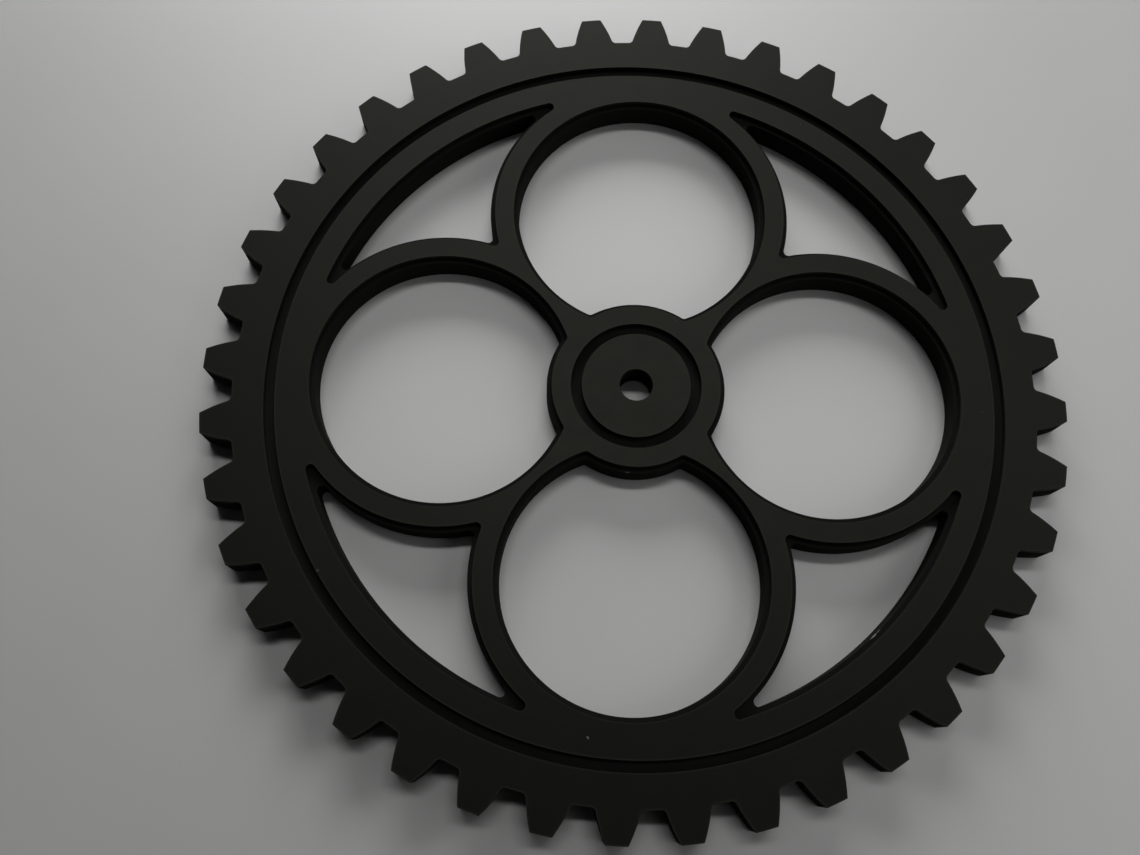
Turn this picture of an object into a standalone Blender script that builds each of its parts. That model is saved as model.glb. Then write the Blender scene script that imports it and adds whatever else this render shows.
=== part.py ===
"""Toothed plate wheel: a thick back plate with three thin front layers bonded on it.

The wheel lies flat, front face up. The bore's axis is Z, and the back face is at z = 0.
+X and +Y run through the centres of two neighbouring round windows.
Lengths are in metres.
"""
import math
import bpy
import bmesh

# ---------------------------------------------------------------- driving dimensions
NAME = "rear_sprocket"

TEETH = 40
TIP_R = 0.2550            # tooth tips
ROOT_R = 0.2370           # flat land between the teeth
BASE_R = 0.2292           # base circle of the flank's involute
HALF_AT_BASE = 3.3117     # half tooth angle on the base circle, degrees
TOOTH_PHASE = -1.24       # angle of the first tooth from +X, degrees

BACK_T = 0.0160           # back plate
FRONT_T = 0.0040          # front layers
BOND = 0.0003             # bond line between the two
CUTTER_R = 0.0029         # inner corners carry the radius of the cutter

GROOVE_W = 0.0063         # gap between neighbouring front layers
RIM_GROOVE_R = 0.2152     # middle of the rim gap
HUB_GROOVE_R = 0.03545    # middle of the hub gap

WINDOWS = 4
WINDOW_D = 0.1145         # round window's centre from the bore
WINDOW_R = 0.0781         # round window at the front
RING_R = 0.0898           # outside of the ring spoke round that window
RIM_R = 0.1979            # inside of the rim band
BOSS_R = 0.0501           # hub boss
STEP = 0.0028             # the back plate stands this much proud of the front layer round every window

BORE_R = 0.0098
SAG = 0.00006             # largest distance between an arc and its chords


# ---------------------------------------------------------------- plane geometry
def arc(cx, cy, r, a0, a1, sag=SAG):
    """Points on an arc from angle a0 to a1 (radians, either way round), both ends included."""
    step = 2.0 * math.acos(max(0.0, 1.0 - sag / r))
    n = max(2, int(math.ceil(abs(a1 - a0) / step)))
    return [(cx + r * math.cos(a0 + (a1 - a0) * k / n), cy + r * math.sin(a0 + (a1 - a0) * k / n))
            for k in range(n + 1)]


def circle(r, sag=SAG, cx=0.0, cy=0.0):
    """A closed ring of points, a multiple of eight in number."""
    step = 2.0 * math.acos(1.0 - sag / r)
    n = 8 * int(math.ceil(2.0 * math.pi / step / 8.0))
    return [(cx + r * math.cos(2 * math.pi * k / n), cy + r * math.sin(2 * math.pi * k / n)) for k in range(n)]


def joined(*runs):
    """Runs of points end to end, without the repeated ones."""
    out = []
    for run in runs:
        for p in run:
            if not out or math.dist(out[-1], p) > 2e-5:
                out.append(p)
    while math.dist(out[0], out[-1]) < 2e-5:
        out.pop()
    return out


def turned(points, angle):
    c, s = math.cos(angle), math.sin(angle)
    return [(c * x - s * y, s * x + c * y) for x, y in points]


def angle_of(p, about=(0.0, 0.0)):
    return math.atan2(p[1] - about[1], p[0] - about[0])


def unwrap(a, near):
    """The angle a, moved by whole turns to lie within half a turn of near."""
    while a - near > math.pi:
        a -= 2 * math.pi
    while a - near < -math.pi:
        a += 2 * math.pi
    return a


# ---------------------------------------------------------------- tooth outline
def half_tooth(r):
    """Half the tooth's angle at radius r: an involute flank."""
    a = math.acos(min(1.0, BASE_R / r))
    return math.radians(HALF_AT_BASE) - (math.tan(a) - a)


def flank_point(r, side):
    h = half_tooth(r) * side
    return (r * math.cos(h), r * math.sin(h))


def root_fillet(side, n=3):
    """Round corner between the flank and the root land, from the flank down to the land."""
    lo, hi = ROOT_R + 0.0002, ROOT_R + 0.012
    centre = None
    for _ in range(60):
        r = 0.5 * (lo + hi)
        x, y = flank_point(r, 1)
        x2, y2 = flank_point(r + 1e-5, 1)
        tx, ty = x2 - x, y2 - y
        s = math.hypot(tx, ty)
        nx, ny = -ty / s, tx / s                 # out of the tooth, into the gap
        centre = (x + CUTTER_R * nx, y + CUTTER_R * ny)
        if math.hypot(*centre) > ROOT_R + CUTTER_R:
            hi = r
        else:
            lo = r
    start = flank_point(0.5 * (lo + hi), 1)
    a0 = angle_of(start, centre)
    a1 = unwrap(angle_of(centre) + math.pi, a0)
    pts = [(centre[0] + CUTTER_R * math.cos(a0 + (a1 - a0) * k / n),
            centre[1] + CUTTER_R * math.sin(a0 + (a1 - a0) * k / n)) for k in range(n + 1)]
    r_start = math.hypot(*start)
    return [(x, y * side) for x, y in pts], r_start


def tooth_outline(flank_points=4):
    low, r0 = root_fillet(1)
    one = []
    rs = [r0 + (TIP_R - r0) * k / flank_points for k in range(flank_points + 1)]
    one += [(x, -y) for x, y in reversed(low)]               # land up the lower side's fillet
    one += [flank_point(r, -1) for r in rs]
    one += [(TIP_R, 0.0)]
    one += [flank_point(r, 1) for r in reversed(rs)]
    one += low
    # middle of the land that follows
    half_pitch = math.pi / TEETH
    one += [(ROOT_R * math.cos(half_pitch), ROOT_R * math.sin(half_pitch))]
    out = []
    for k in range(TEETH):
        out += turned(one, math.radians(TOOTH_PHASE) + 2 * math.pi * k / TEETH)
    return joined(out)


# ---------------------------------------------------------------- window outlines
def round_window(step):
    """Round window round (WINDOW_D, 0), cut off by the hub boss."""
    rw, rb, c = WINDOW_R - step, BOSS_R + step, CUTTER_R
    # corner circle: inside the window, outside the boss
    a, b = rb + c, rw - c
    cosine = (a * a + WINDOW_D ** 2 - b * b) / (2 * a * WINDOW_D)
    phi = math.acos(cosine)
    k = (a * math.cos(phi), a * math.sin(phi))
    on_window = angle_of(k, (WINDOW_D, 0.0))
    boss = arc(0, 0, rb, -phi, phi)                                        # along the boss
    corner_up = arc(k[0], k[1], c, phi + math.pi, unwrap(on_window, phi + math.pi))
    big = arc(WINDOW_D, 0.0, rw, on_window, -on_window)                    # clockwise round the far side
    corner_dn = [(x, -y) for x, y in reversed(corner_up)]
    return joined(boss, corner_up, big, corner_dn)


def corner_window(step):
    """Three-cornered window between the ring spokes at 0 and 90 degrees and the rim."""
    rr, rs, c = RIM_R - step, RING_R + step, CUTTER_R
    # tip circle: inside the rim, outside the ring spoke
    a, b = rr - c, rs + c
    phi = math.acos((a * a + WINDOW_D ** 2 - b * b) / (2 * a * WINDOW_D))
    t0 = (a * math.cos(phi), a * math.sin(phi))
    # inner corner circle: outside both ring spokes, on the diagonal
    s = 0.5 * (WINDOW_D + math.sqrt(2 * b * b - WINDOW_D ** 2))
    ring0 = (WINDOW_D, 0.0)
    rim = arc(0, 0, rr, phi, math.pi / 2 - phi)
    ring_a1 = angle_of((s, s), ring0)
    ring_a0 = angle_of(t0, ring0)
    lower_ring = arc(ring0[0], ring0[1], rs, ring_a1, ring_a0)             # from the inner corner out to the tip
    tip = arc(t0[0], t0[1], c, unwrap(ring_a0 + math.pi, phi - math.pi / 2), phi)
    mirror = lambda pts: [(y, x) for x, y in reversed(pts)]
    inner_a = ring_a1 + math.pi
    inner = arc(s, s, c, unwrap(math.pi / 2 - inner_a, 1.25 * math.pi), unwrap(inner_a, 1.25 * math.pi))
    return joined(rim, mirror(tip), mirror(lower_ring), inner, lower_ring, tip)


# ---------------------------------------------------------------- scene helpers
def fresh_scene():
    for ob in list(bpy.data.objects):
        bpy.data.objects.remove(ob, do_unlink=True)
    for block in (bpy.data.meshes, bpy.data.curves, bpy.data.materials):
        for item in list(block):
            block.remove(item)
    for coll in list(bpy.data.collections):
        bpy.data.collections.remove(coll)


def material(name, colour, rough, metal):
    m = bpy.data.materials.new(name)
    m.use_nodes = True
    b = m.node_tree.nodes["Principled BSDF"]
    b.inputs["Base Color"].default_value = (*colour, 1.0)
    b.inputs["Roughness"].default_value = rough
    b.inputs["Metallic"].default_value = metal
    m.diffuse_color = (*colour, 1.0)
    return m


def flat_piece(name, outlines, z0, thickness, mat, coll):
    """A flat outline with holes, given thickness from z0 upwards, as one closed mesh."""
    cu = bpy.data.curves.new(name + "_outline", "CURVE")
    cu.dimensions = "2D"
    cu.fill_mode = "BOTH"
    cu.extrude = thickness / 2
    for pts in outlines:
        sp = cu.splines.new("POLY")
        sp.points.add(len(pts) - 1)
        for p, (x, y) in zip(sp.points, pts):
            p.co = (x, y, 0.0, 1.0)
        sp.use_cyclic_u = True
    ob = bpy.data.objects.new(name + "_outline", cu)
    ob.location = (0.0, 0.0, z0 + thickness / 2)
    coll.objects.link(ob)
    bpy.context.view_layer.update()
    dg = bpy.context.evaluated_depsgraph_get()
    me = bpy.data.meshes.new_from_object(ob.evaluated_get(dg))
    me.name = name
    world = ob.matrix_world.copy()
    bpy.data.objects.remove(ob, do_unlink=True)
    bpy.data.curves.remove(cu)
    bm = bmesh.new()
    bm.from_mesh(me)
    bmesh.ops.remove_doubles(bm, verts=bm.verts, dist=1e-6)
    bmesh.ops.recalc_face_normals(bm, faces=bm.faces)
    bm.to_mesh(me)
    bm.free()
    me.shade_smooth()
    me.set_sharp_from_angle(angle=math.radians(25))
    me.materials.clear()
    me.materials.append(mat)
    out = bpy.data.objects.new(name, me)
    out.matrix_world = world
    coll.objects.link(out)
    return out


# ---------------------------------------------------------------- build
def main():
    fresh_scene()
    coll = bpy.data.collections.new(NAME)
    bpy.context.scene.collection.children.link(coll)

    black = material("black_coat_back", (0.030, 0.031, 0.029), 0.75, 0.0)
    ring_coat = material("black_coat_ring", (0.033, 0.034, 0.031), 0.72, 0.0)
    web_coat = material("black_coat_web", (0.033, 0.034, 0.032), 0.72, 0.0)
    disc_coat = material("black_coat_disc", (0.034, 0.034, 0.032), 0.72, 0.0)

    quarter = math.pi / 2
    teeth = tooth_outline()
    windows_front = [turned(round_window(0.0), k * quarter) for k in range(WINDOWS)]
    windows_back = [turned(round_window(STEP), k * quarter) for k in range(WINDOWS)]
    corners_front = [turned(corner_window(0.0), k * quarter) for k in range(WINDOWS)]
    corners_back = [turned(corner_window(STEP), k * quarter) for k in range(WINDOWS)]
    bore = circle(BORE_R)
    z_front = BACK_T
    front_from = z_front + BOND
    front_t = FRONT_T - BOND

    # thick back plate: every opening at its through size
    flat_piece("back_plate", [teeth] + windows_back + corners_back + [bore], 0.0, BACK_T, black, coll)

    # thin front layers, parted by the two ring gaps
    flat_piece("front_toothed_ring", [teeth, circle(RIM_GROOVE_R + GROOVE_W / 2)],
               front_from, front_t, ring_coat, coll)
    flat_piece("front_spoke_web",
               [circle(RIM_GROOVE_R - GROOVE_W / 2)] + windows_front + corners_front
               + [circle(HUB_GROOVE_R + GROOVE_W / 2)],
               front_from, front_t, web_coat, coll)
    flat_piece("front_hub_disc", [circle(HUB_GROOVE_R - GROOVE_W / 2), bore],
               front_from, front_t, disc_coat, coll)


main()
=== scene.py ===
"""Looks of the toothed plate wheel: finer meshes with broken edges, a matte black coat, floor, light and camera."""
import math
import bpy
import bmesh
import numpy as np
from mathutils import Euler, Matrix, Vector
from mathutils.geometry import delaunay_2d_cdt


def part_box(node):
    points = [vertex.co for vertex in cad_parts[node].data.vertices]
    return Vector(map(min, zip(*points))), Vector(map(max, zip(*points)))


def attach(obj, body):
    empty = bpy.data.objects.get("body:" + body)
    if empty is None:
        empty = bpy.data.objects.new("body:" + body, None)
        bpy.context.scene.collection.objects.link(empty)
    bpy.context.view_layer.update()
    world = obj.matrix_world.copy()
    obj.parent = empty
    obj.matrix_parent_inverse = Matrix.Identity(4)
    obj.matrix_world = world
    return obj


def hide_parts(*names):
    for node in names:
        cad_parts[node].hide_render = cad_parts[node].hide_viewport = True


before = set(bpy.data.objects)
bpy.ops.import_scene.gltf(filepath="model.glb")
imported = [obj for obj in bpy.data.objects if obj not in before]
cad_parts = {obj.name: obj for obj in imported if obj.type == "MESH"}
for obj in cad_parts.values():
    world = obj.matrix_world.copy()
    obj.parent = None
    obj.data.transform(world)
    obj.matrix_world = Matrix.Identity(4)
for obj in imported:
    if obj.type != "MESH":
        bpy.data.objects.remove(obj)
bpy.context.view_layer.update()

# ---------------------------------------------------------------- the wheel's dimensions, in metres
TEETH = 40
TIP_R = 0.2550
ROOT_R = 0.2370
BASE_R = 0.2292
HALF_AT_BASE = 3.3117
TOOTH_PHASE = -1.24
CUTTER_R = 0.0029
GROOVE_W = 0.0063
RIM_GROOVE_R = 0.2152
HUB_GROOVE_R = 0.03545
WINDOWS = 4
WINDOW_D = 0.1145
WINDOW_R = 0.0781
RING_R = 0.0898
RIM_R = 0.1979
BOSS_R = 0.0501
STEP = 0.0028
BORE_R = 0.0098

SAG = 0.000008            # largest distance between an arc and its chords
EDGE = 0.00008            # broken edge of every cut
RUB = 0.0011              # how far in from an edge the coat can be rubbed
JOINT = 0.00001           # what is left of the bond line once it is filled and painted over

Z_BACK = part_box("back_plate")[0].z
Z_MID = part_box("back_plate")[1].z
Z_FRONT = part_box("front_toothed_ring")[1].z


# ---------------------------------------------------------------- plane geometry
def arc(cx, cy, r, a0, a1, least=2):
    step = 2.0 * math.acos(max(0.0, 1.0 - SAG / r))
    n = max(least, int(math.ceil(abs(a1 - a0) / step)))
    return [(cx + r * math.cos(a0 + (a1 - a0) * k / n), cy + r * math.sin(a0 + (a1 - a0) * k / n))
            for k in range(n + 1)]


def circle(r, least=96):
    step = 2.0 * math.acos(1.0 - SAG / r)
    n = max(least, 8 * int(math.ceil(2.0 * math.pi / step / 8.0)))
    return [(r * math.cos(2 * math.pi * k / n), r * math.sin(2 * math.pi * k / n)) for k in range(n)]


def joined(*runs):
    out = []
    for run in runs:
        for p in run:
            if not out or math.dist(out[-1], p) > 2e-5:
                out.append(p)
    while math.dist(out[0], out[-1]) < 2e-5:
        out.pop()
    return out


def turned(points, angle):
    c, s = math.cos(angle), math.sin(angle)
    return [(c * x - s * y, s * x + c * y) for x, y in points]


def angle_of(p, about=(0.0, 0.0)):
    return math.atan2(p[1] - about[1], p[0] - about[0])


def unwrap(a, near):
    while a - near > math.pi:
        a -= 2 * math.pi
    while a - near < -math.pi:
        a += 2 * math.pi
    return a


def half_tooth(r):
    a = math.acos(min(1.0, BASE_R / r))
    return math.radians(HALF_AT_BASE) - (math.tan(a) - a)


def flank_point(r, side):
    h = half_tooth(r) * side
    return (r * math.cos(h), r * math.sin(h))


def root_fillet(n=8):
    """Round corner between the flank and the root land, from the flank down to the land."""
    lo, hi = ROOT_R + 0.0002, ROOT_R + 0.012
    centre = None
    for _ in range(60):
        r = 0.5 * (lo + hi)
        x, y = flank_point(r, 1)
        x2, y2 = flank_point(r + 1e-5, 1)
        tx, ty = x2 - x, y2 - y
        s = math.hypot(tx, ty)
        nx, ny = -ty / s, tx / s
        centre = (x + CUTTER_R * nx, y + CUTTER_R * ny)
        if math.hypot(*centre) > ROOT_R + CUTTER_R:
            hi = r
        else:
            lo = r
    start = flank_point(0.5 * (lo + hi), 1)
    a0 = angle_of(start, centre)
    a1 = unwrap(angle_of(centre) + math.pi, a0)
    pts = [(centre[0] + CUTTER_R * math.cos(a0 + (a1 - a0) * k / n),
            centre[1] + CUTTER_R * math.sin(a0 + (a1 - a0) * k / n)) for k in range(n + 1)]
    return pts, math.hypot(*start)


def tooth_outline(flank_points=10, tip_points=10, land_points=6):
    low, r0 = root_fillet()
    rs = [r0 + (TIP_R - r0) * k / flank_points for k in range(flank_points + 1)]
    tip_h, half_pitch = half_tooth(TIP_R), math.pi / TEETH
    one = [(x, -y) for x, y in reversed(low)]
    one += [flank_point(r, -1) for r in rs]
    one += arc(0.0, 0.0, TIP_R, -tip_h, tip_h, tip_points)
    one += [flank_point(r, 1) for r in reversed(rs)]
    one += low
    one += arc(0.0, 0.0, ROOT_R, angle_of(low[-1]), 2 * half_pitch - angle_of(low[-1]), land_points)
    out = []
    for k in range(TEETH):
        out += turned(one, math.radians(TOOTH_PHASE) + 2 * math.pi * k / TEETH)
    return joined(out)


def round_window(step):
    rw, rb, c = WINDOW_R - step, BOSS_R + step, CUTTER_R
    a, b = rb + c, rw - c
    phi = math.acos((a * a + WINDOW_D ** 2 - b * b) / (2 * a * WINDOW_D))
    k = (a * math.cos(phi), a * math.sin(phi))
    on_window = angle_of(k, (WINDOW_D, 0.0))
    boss = arc(0, 0, rb, -phi, phi)
    corner_up = arc(k[0], k[1], c, phi + math.pi, unwrap(on_window, phi + math.pi), 14)
    big = arc(WINDOW_D, 0.0, rw, on_window, -on_window)
    corner_dn = [(x, -y) for x, y in reversed(corner_up)]
    return joined(boss, corner_up, big, corner_dn)


def corner_window(step):
    rr, rs, c = RIM_R - step, RING_R + step, CUTTER_R
    a, b = rr - c, rs + c
    phi = math.acos((a * a + WINDOW_D ** 2 - b * b) / (2 * a * WINDOW_D))
    t0 = (a * math.cos(phi), a * math.sin(phi))
    s = 0.5 * (WINDOW_D + math.sqrt(2 * b * b - WINDOW_D ** 2))
    ring0 = (WINDOW_D, 0.0)
    rim = arc(0, 0, rr, phi, math.pi / 2 - phi)
    ring_a1 = angle_of((s, s), ring0)
    ring_a0 = angle_of(t0, ring0)
    lower_ring = arc(ring0[0], ring0[1], rs, ring_a1, ring_a0)
    tip = arc(t0[0], t0[1], c, unwrap(ring_a0 + math.pi, phi - math.pi / 2), phi, 20)
    mirror = lambda pts: [(y, x) for x, y in reversed(pts)]
    inner_a = ring_a1 + math.pi
    inner = arc(s, s, c, unwrap(math.pi / 2 - inner_a, 1.25 * math.pi), unwrap(inner_a, 1.25 * math.pi), 12)
    return joined(rim, mirror(tip), mirror(lower_ring), inner, lower_ring, tip)


def signed_area(pts):
    p = np.array(pts)
    q = np.roll(p, -1, 0)
    return 0.5 * float((p[:, 0] * q[:, 1] - q[:, 0] * p[:, 1]).sum())


def inset(loop, d):
    """The loop moved into the material by d. Material lies on the left of every loop."""
    e = np.roll(loop, -1, 0) - loop
    e /= np.linalg.norm(e, axis=1)[:, None]
    n = np.stack([e[:, 1], -e[:, 0]], 1)              # out of the material
    m = np.roll(n, 1, 0)
    return loop - d * (n + m) / (1.0 + (n * m).sum(1))[:, None]


def inside(points, loop):
    """Which of the points lie inside the loop."""
    odd = np.zeros(len(points), bool)
    x, y = points[:, 0], points[:, 1]
    for (x0, y0), (x1, y1) in zip(loop, np.roll(loop, -1, 0)):
        if y0 != y1:
            odd ^= ((y0 > y) != (y1 > y)) & (x < (x1 - x0) * (y - y0) / (y1 - y0) + x0)
    return odd


# ---------------------------------------------------------------- plates with broken edges
def broken(z_from, z_to, low_edge, high_edge, segments=5):
    """(inset, z) pairs up a cut wall, with a rounded edge of the given radius at either end."""
    rows = []
    if low_edge:
        for k in range(segments + 1):
            a = math.pi / 2 * k / segments
            rows.append((low_edge * (1 - math.sin(a)), z_from + low_edge * (1 - math.cos(a))))
    else:
        rows.append((0.0, z_from))
    if high_edge:
        for k in range(segments + 1):
            a = math.pi / 2 * k / segments
            rows.append((high_edge * (1 - math.cos(a)), z_to - high_edge * (1 - math.sin(a))))
    else:
        rows.append((0.0, z_to))
    return rows


def plate(name, loops, z0, z1):
    """A flat piece. Each loop is (points, low edge radius, high edge radius); the first is the outside.
    The vertex value 'edge' is 1 on every broken edge and falls to 0 a little way in from it."""
    bm = bmesh.new()
    edge_layer = bm.verts.layers.float.new("edge")
    wall_layer = bm.verts.layers.float.new("wall")
    caps = {"low": [], "high": []}
    for n, (points, low, high) in enumerate(loops):
        if (signed_area(points) > 0) != (n == 0):
            points = points[::-1]
        base = np.array(points)
        rows = broken(z0, z1, low, high)
        table = []
        table.append((rows[0][0] + RUB, z0, 0.0, 0.0))
        for i, (d, z) in enumerate(rows):
            near_low = low and i <= 5
            near_high = high and i >= len(rows) - 6
            table.append((d, z, 1.0 if (near_low or near_high) else 0.0, 1.0))
        # two more rows split the wall, so that the rubbed edge stays near the edge
        zs = [t[1] for t in table[1:]]
        table_mid = []
        if low:
            table_mid.append((0.0, z0 + low + 0.6 * RUB, 0.0, 1.0))
        if high:
            table_mid.append((0.0, z1 - high - 0.6 * RUB, 0.0, 1.0))
        split = 1 + (6 if low else 1)
        table = table[:split] + table_mid + table[split:]
        table.append((rows[-1][0] + RUB, z1, 0.0, 0.0))
        rings = []
        for d, z, edge, wall in table:
            co = inset(base, d) if d > 0 else base
            ring = [bm.verts.new((x, y, z)) for x, y in co]
            for v in ring:
                v[edge_layer] = edge
                v[wall_layer] = wall
            rings.append(ring)
        last = len(rings) - 2
        for i, (a, b) in enumerate(zip(rings, rings[1:])):
            for k in range(len(a)):
                j = (k + 1) % len(a)
                f = bm.faces.new((a[k], a[j], b[j], b[k]))
                f.smooth = 0 < i < last
        caps["low"].append(rings[0])
        caps["high"].append(rings[-1])
    for which, up in (("low", -1.0), ("high", 1.0)):
        verts = [v for ring in caps[which] for v in ring]
        flat = [Vector((v.co.x, v.co.y)) for v in verts]
        edges, at = [], 0
        for ring in caps[which]:
            n = len(ring)
            edges += [(at + k, at + (k + 1) % n) for k in range(n)]
            at += n
        out_v, _, out_f, orig_v, _, _ = delaunay_2d_cdt(flat, edges, [], 1, 1e-9)
        tris = np.array([list(f) for f in out_f])
        mid = np.array([list(v) for v in out_v])[tris].mean(1)
        keep = np.ones(len(tris), bool)
        for ring in caps[which][1:]:
            keep &= ~inside(mid, np.array([(v.co.x, v.co.y) for v in ring]))
        for tri in tris[keep]:
            vs = [verts[orig_v[k][0]] for k in tri]
            a, b, c = (v.co for v in vs)
            if ((b - a).cross(c - a)).z * up < 0:
                vs.reverse()
            f = bm.faces.new(vs)
            f.smooth = False
    bm.normal_update()
    mesh = bpy.data.meshes.new(name)
    bm.to_mesh(mesh)
    bm.free()
    ob = bpy.data.objects.new(name, mesh)
    bpy.context.scene.collection.objects.link(ob)
    return ob


def quarter_turns(points):
    return [turned(points, 2 * math.pi * k / WINDOWS) for k in range(WINDOWS)]


teeth = tooth_outline()
bore = circle(BORE_R)
half = GROOVE_W / 2

back = plate("back_plate_fine",
             [(teeth, EDGE, 0.0), (bore, EDGE, 0.0)]
             + [(w, EDGE, EDGE) for w in quarter_turns(round_window(STEP)) + quarter_turns(corner_window(STEP))],
             Z_BACK, Z_MID)
ring = plate("front_toothed_ring_fine",
             [(teeth, 0.0, EDGE), (circle(RIM_GROOVE_R + half), 0.0, EDGE)],
             Z_MID + JOINT, Z_FRONT)
web = plate("front_spoke_web_fine",
            [(circle(RIM_GROOVE_R - half), 0.0, EDGE), (circle(HUB_GROOVE_R + half), 0.0, EDGE)]
            + [(w, 0.0, EDGE) for w in quarter_turns(round_window(0.0)) + quarter_turns(corner_window(0.0))],
            Z_MID + JOINT, Z_FRONT)
disc = plate("front_hub_disc_fine",
             [(circle(HUB_GROOVE_R - half), 0.0, EDGE), (bore, 0.0, EDGE)],
             Z_MID + JOINT, Z_FRONT)


# ---------------------------------------------------------------- materials
class Nodes:
    """A little shorthand for building a node tree."""

    def __init__(self, mat):
        mat.use_nodes = True
        self.tree = mat.node_tree
        self.tree.nodes.clear()

    def add(self, kind, **values):
        node = self.tree.nodes.new(kind)
        for key, value in values.items():
            setattr(node, key, value)
        return node

    def link(self, a, b):
        self.tree.links.new(a, b)

    def put(self, socket, value):
        if isinstance(value, bpy.types.NodeSocket):
            self.link(value, socket)
        else:
            socket.default_value = value

    def math(self, op, a, b=0.0, clamp=False):
        node = self.add("ShaderNodeMath", operation=op, use_clamp=clamp)
        self.put(node.inputs[0], a)
        self.put(node.inputs[1], b)
        return node.outputs[0]

    def noise(self, vector, scale, detail=2.0, rough=0.5):
        node = self.add("ShaderNodeTexNoise", noise_dimensions="3D")
        self.link(vector, node.inputs["Vector"])
        node.inputs["Scale"].default_value = scale
        node.inputs["Detail"].default_value = detail
        node.inputs["Roughness"].default_value = rough
        return node.outputs["Fac"]

    def span(self, value, from_lo, from_hi, to_lo, to_hi, smooth=False):
        node = self.add("ShaderNodeMapRange", clamp=True)
        if smooth:
            node.interpolation_type = "SMOOTHSTEP"
        self.put(node.inputs["Value"], value)
        for key, v in (("From Min", from_lo), ("From Max", from_hi), ("To Min", to_lo), ("To Max", to_hi)):
            node.inputs[key].default_value = v
        return node.outputs["Result"]

    def mix(self, fac, a, b, blend="MIX"):
        node = self.add("ShaderNodeMix", data_type="RGBA", blend_type=blend)
        self.put(node.inputs["Factor"], fac)
        for socket, value in ((node.inputs[6], a), (node.inputs[7], b)):
            self.put(socket, value if isinstance(value, bpy.types.NodeSocket) else (*value, 1.0))
        return node.outputs[2]


WALL_TINT = 0.9           # how far the cut walls go towards the dry coat's tone


# places where the coat is knocked through: centre, half length, half width, direction in degrees, tone
CHIPS = {
    "web_coat": [((-0.1756, -0.1173, Z_FRONT), 0.0011, 0.0005, 8.0, 0.075),
                 ((-0.0224, -0.2010, Z_FRONT), 0.0007, 0.0009, 15.0, 0.15)],
    "back_coat": [((0.1352, -0.1407, Z_MID), 0.0026, 0.0006, 44.0, 0.36),
                  ((0.1378, -0.1380, Z_MID), 0.0013, 0.0004, 50.0, 0.22),
                  ((-0.0040, -0.0529, Z_MID), 0.0015, 0.0006, 0.0, 0.20)],
}


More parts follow.
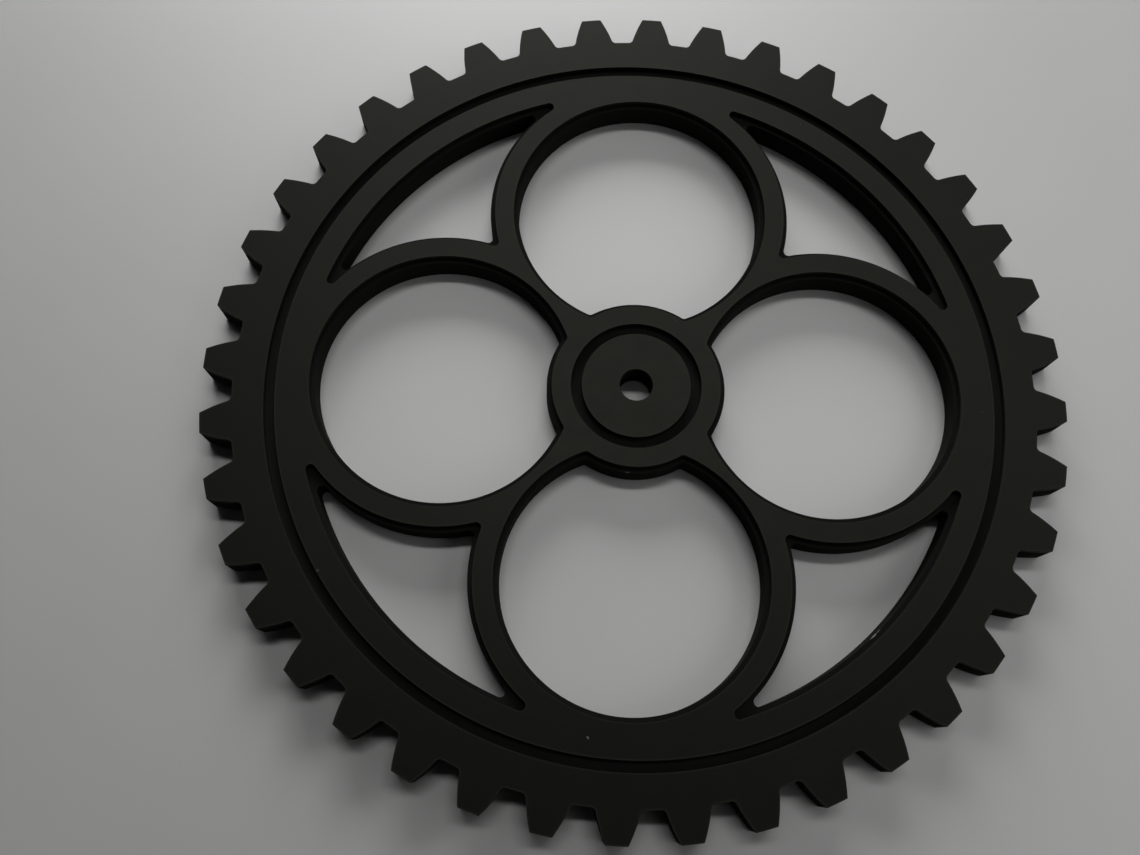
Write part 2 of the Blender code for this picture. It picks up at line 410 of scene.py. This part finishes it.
def black_coat(name, tone, seed, gloss, rough_lo, rough_hi):
    """Matte black coat: fine grain, slow changes of tone and hue, rubbed edges, specks of dust, a few chips."""
    mat = bpy.data.materials.new(name)
    n = Nodes(mat)
    place = n.add("ShaderNodeTexCoord").outputs["Object"]
    moved = n.add("ShaderNodeMapping")
    moved.inputs["Location"].default_value = (seed * 0.37, seed * 0.19, seed * 0.53)
    n.link(place, moved.inputs["Vector"])
    at = moved.outputs["Vector"]
    edge = n.add("ShaderNodeAttribute", attribute_name="edge").outputs["Fac"]
    wall = n.add("ShaderNodeAttribute", attribute_name="wall").outputs["Fac"]

    slow = n.noise(at, 16.0, 3.0, 0.55)
    blotch = n.noise(at, 62.0, 3.0, 0.6)
    grain = n.noise(at, 1500.0, 3.0, 0.65)
    peel = n.noise(at, 420.0, 2.0, 0.5)

    warm = tuple(c * k for c, k in zip(tone, (1.05, 1.03, 0.93)))
    cool = tuple(c * k for c, k in zip(tone, (0.93, 0.99, 1.05)))
    colour = n.mix(n.span(blotch, 0.38, 0.62, 0.0, 1.0), warm, cool)
    level = n.math("MULTIPLY", n.span(slow, 0.3, 0.7, 0.94, 1.06), n.span(grain, 0.25, 0.75, 0.86, 1.14))
    grey = n.add("ShaderNodeCombineXYZ")
    for k in range(3):
        n.link(level, grey.inputs[k])
    colour = n.mix(1.0, colour, grey.outputs[0], "MULTIPLY")

    # the cut walls took the coat more dryly: paler and duller
    colour = n.mix(n.math("MULTIPLY", wall, WALL_TINT), colour, (0.014, 0.014, 0.0125))

    # rubbed edges
    rub_noise = n.noise(at, 210.0, 4.0, 0.7)
    rubbed = n.math("MULTIPLY", edge, n.span(rub_noise, 0.52, 0.68, 0.0, 1.0, True))
    colour = n.mix(n.math("MULTIPLY", rubbed, 0.10), colour, (0.022, 0.022, 0.020))

    # dust: a few tiny pale specks
    cells = n.add("ShaderNodeTexVoronoi", voronoi_dimensions="3D", feature="F1")
    n.link(at, cells.inputs["Vector"])
    cells.inputs["Scale"].default_value = 165.0
    pick = n.add("ShaderNodeSeparateColor")
    n.link(cells.outputs["Color"], pick.inputs[0])
    few = n.math("GREATER_THAN", pick.outputs[0], 0.93)
    size = n.span(pick.outputs[1], 0.0, 1.0, 0.02, 0.055)
    dot = n.math("LESS_THAN", cells.outputs["Distance"], size)
    speck = n.math("MULTIPLY", few, dot)
    colour = n.mix(n.math("MULTIPLY", speck, 0.75), colour, (0.10, 0.098, 0.09))

    ragged = n.span(n.noise(at, 1300.0, 2.0, 0.6), 0.3, 0.7, -0.45, 0.45)
    for centre, length, width, turn, pale in CHIPS.get(name, ()):
        local = n.add("ShaderNodeMapping", vector_type="TEXTURE")
        local.inputs["Location"].default_value = centre
        local.inputs["Rotation"].default_value = (0.0, 0.0, math.radians(turn))
        local.inputs["Scale"].default_value = (length, width, 0.0004)
        n.link(place, local.inputs["Vector"])
        reach = n.add("ShaderNodeVectorMath", operation="LENGTH")
        n.link(local.outputs["Vector"], reach.inputs[0])
        chip = n.span(n.math("ADD", reach.outputs["Value"], ragged), 0.75, 1.05, 1.0, 0.0, True)
        colour = n.mix(chip, colour, (pale, pale * 0.97, pale * 0.88))

    shader = n.add("ShaderNodeBsdfPrincipled")
    n.link(colour, shader.inputs["Base Color"])
    rough = n.span(n.noise(at, 95.0, 3.0, 0.6), 0.3, 0.7, rough_lo, rough_hi)
    rough = n.math("MAXIMUM", rough, n.math("MULTIPLY", n.math("POWER", edge, 3.0), 0.85))
    rough = n.math("MAXIMUM", rough, n.math("MULTIPLY", wall, 0.8))
    n.link(rough, shader.inputs["Roughness"])
    shader.inputs["Specular IOR Level"].default_value = gloss
    shader.inputs["Specular Tint"].default_value = (0.985, 1.0, 0.84, 1.0)

    # relief: grain of the coat, a faint waviness, and upright cutter marks on the walls
    stretched = n.add("ShaderNodeMapping")
    stretched.inputs["Scale"].default_value = (1.0, 1.0, 0.02)
    n.link(place, stretched.inputs["Vector"])
    marks = n.noise(stretched.outputs["Vector"], 900.0, 2.0, 0.6)
    height = n.math("ADD", n.math("MULTIPLY", grain, 0.55), n.math("MULTIPLY", peel, 0.45))
    height = n.math("ADD", height, n.math("MULTIPLY", n.math("MULTIPLY", marks, wall), 0.8))
    bump = n.add("ShaderNodeBump")
    bump.inputs["Strength"].default_value = 0.35
    bump.inputs["Distance"].default_value = 0.00012
    n.link(height, bump.inputs["Height"])
    n.link(bump.outputs["Normal"], shader.inputs["Normal"])
    out = n.add("ShaderNodeOutputMaterial")
    n.link(shader.outputs[0], out.inputs["Surface"])
    return mat


TONE = (0.0048, 0.0049, 0.0043)
DRY = (0.0130, 0.0131, 0.0118)
PIECES = [
    (back, "back_plate", "back_coat", 1.0, DRY, 0.03, 0.76, 0.84),
    (ring, "front_toothed_ring", "ring_coat", 2.0, TONE, 0.205, 0.43, 0.49),
    (web, "front_spoke_web", "web_coat", 3.0, TONE, 0.205, 0.43, 0.49),
    (disc, "front_hub_disc", "disc_coat", 4.0, TONE, 0.205, 0.43, 0.49),
]
for piece, node, slot, seed, tone, gloss, rough_lo, rough_hi in PIECES:
    piece.data.materials.append(black_coat(slot, tone, seed, gloss, rough_lo, rough_hi))
    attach(piece, "root")
    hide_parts(node)


# ---------------------------------------------------------------- floor
def table_top():
    mesh = bpy.data.meshes.new("floor")
    bm = bmesh.new()
    bmesh.ops.create_grid(bm, x_segments=1, y_segments=1, size=6.0)
    bm.to_mesh(mesh)
    bm.free()
    ob = bpy.data.objects.new("floor", mesh)
    ob.location.z = Z_BACK - 0.0002
    bpy.context.scene.collection.objects.link(ob)
    mat = bpy.data.materials.new("floor")
    n = Nodes(mat)
    place = n.add("ShaderNodeTexCoord").outputs["Object"]
    slow = n.noise(place, 9.0, 2.0)
    fine = n.noise(place, 700.0, 2.0)
    level = n.math("MULTIPLY", n.span(slow, 0.3, 0.7, 0.985, 1.015), n.span(fine, 0.3, 0.7, 0.99, 1.01))
    grey = n.add("ShaderNodeCombineXYZ")
    for k in range(3):
        n.link(level, grey.inputs[k])
    shader = n.add("ShaderNodeBsdfPrincipled")
    n.link(n.mix(1.0, (0.60, 0.604, 0.592), grey.outputs[0], "MULTIPLY"), shader.inputs["Base Color"])
    shader.inputs["Roughness"].default_value = 0.53
    shader.inputs["IOR"].default_value = 2.0
    shader.inputs["Specular IOR Level"].default_value = 1.0
    out = n.add("ShaderNodeOutputMaterial")
    n.link(shader.outputs[0], out.inputs["Surface"])
    mesh.materials.append(mat)


table_top()


# ---------------------------------------------------------------- light
def area(name, place, width, height, power, facing=None):
    """A softbox. It is aimed at the wheel, or its panel faces the given direction."""
    lamp = bpy.data.lights.new(name, "AREA")
    lamp.shape = "RECTANGLE"
    lamp.size, lamp.size_y = width, height
    lamp.energy = power
    ob = bpy.data.objects.new(name, lamp)
    ob.location = place
    ob.rotation_mode = "QUATERNION"
    ob.rotation_quaternion = (Vector(facing) if facing else -Vector(place)).to_track_quat("-Z", "Y")
    bpy.context.scene.collection.objects.link(ob)
    return ob


area("window", (-0.304, 2.184, 0.942), 1.76, 1.01, 47.6, (0.0, -1.0, 0.0))
area("ceiling", (0.35, 1.80, 5.0), 3.70, 0.50, 44.7, (0.0, 0.0, -1.0))
area("right", (1.652, 0.291, 1.089), 2.2, 1.3, 6.5)
area("behind", (1.365, -0.788, 1.231), 1.4, 1.0, 2.2)

# a weak pool of light from straight above, which reaches the table through the bore
lamp = bpy.data.lights.new("overhead", "SPOT")
lamp.energy = 2.1
lamp.spot_size = math.radians(15.0)
lamp.spot_blend = 1.0
lamp.shadow_soft_size = 0.12
overhead = bpy.data.objects.new("overhead", lamp)
overhead.location = (0.0, 0.05, 2.0)
bpy.context.scene.collection.objects.link(overhead)

world = bpy.data.worlds.new("room")
bpy.context.scene.world = world
sky = Nodes(world)          # a dim room, a little paler low down where its far walls are
level = sky.add("ShaderNodeSeparateXYZ")
sky.link(sky.add("ShaderNodeTexCoord").outputs["Generated"], level.inputs[0])
glow = sky.add("ShaderNodeBackground")
sky.link(sky.span(level.outputs["Z"], 0.0, 0.2, 0.30, 0.004, True), glow.inputs["Strength"])
sky.link(glow.outputs[0], sky.add("ShaderNodeOutputWorld").inputs["Surface"])

# ---------------------------------------------------------------- camera
lens = bpy.data.cameras.new("camera")
lens.sensor_fit = "HORIZONTAL"
lens.sensor_width = 36.0
lens.lens = 33.893
lens.clip_start = 0.01
camera = bpy.data.objects.new("camera", lens)
camera.location = (-0.04512, -0.21125, 0.61736)
camera.rotation_euler = Euler([math.radians(a) for a in (17.0117, -1.3053, 2.0848)], "XYZ")
bpy.context.scene.collection.objects.link(camera)
bpy.context.scene.camera = camera

bpy.context.scene.view_settings.view_transform = "Standard"
bpy.context.scene.view_settings.look = "None"
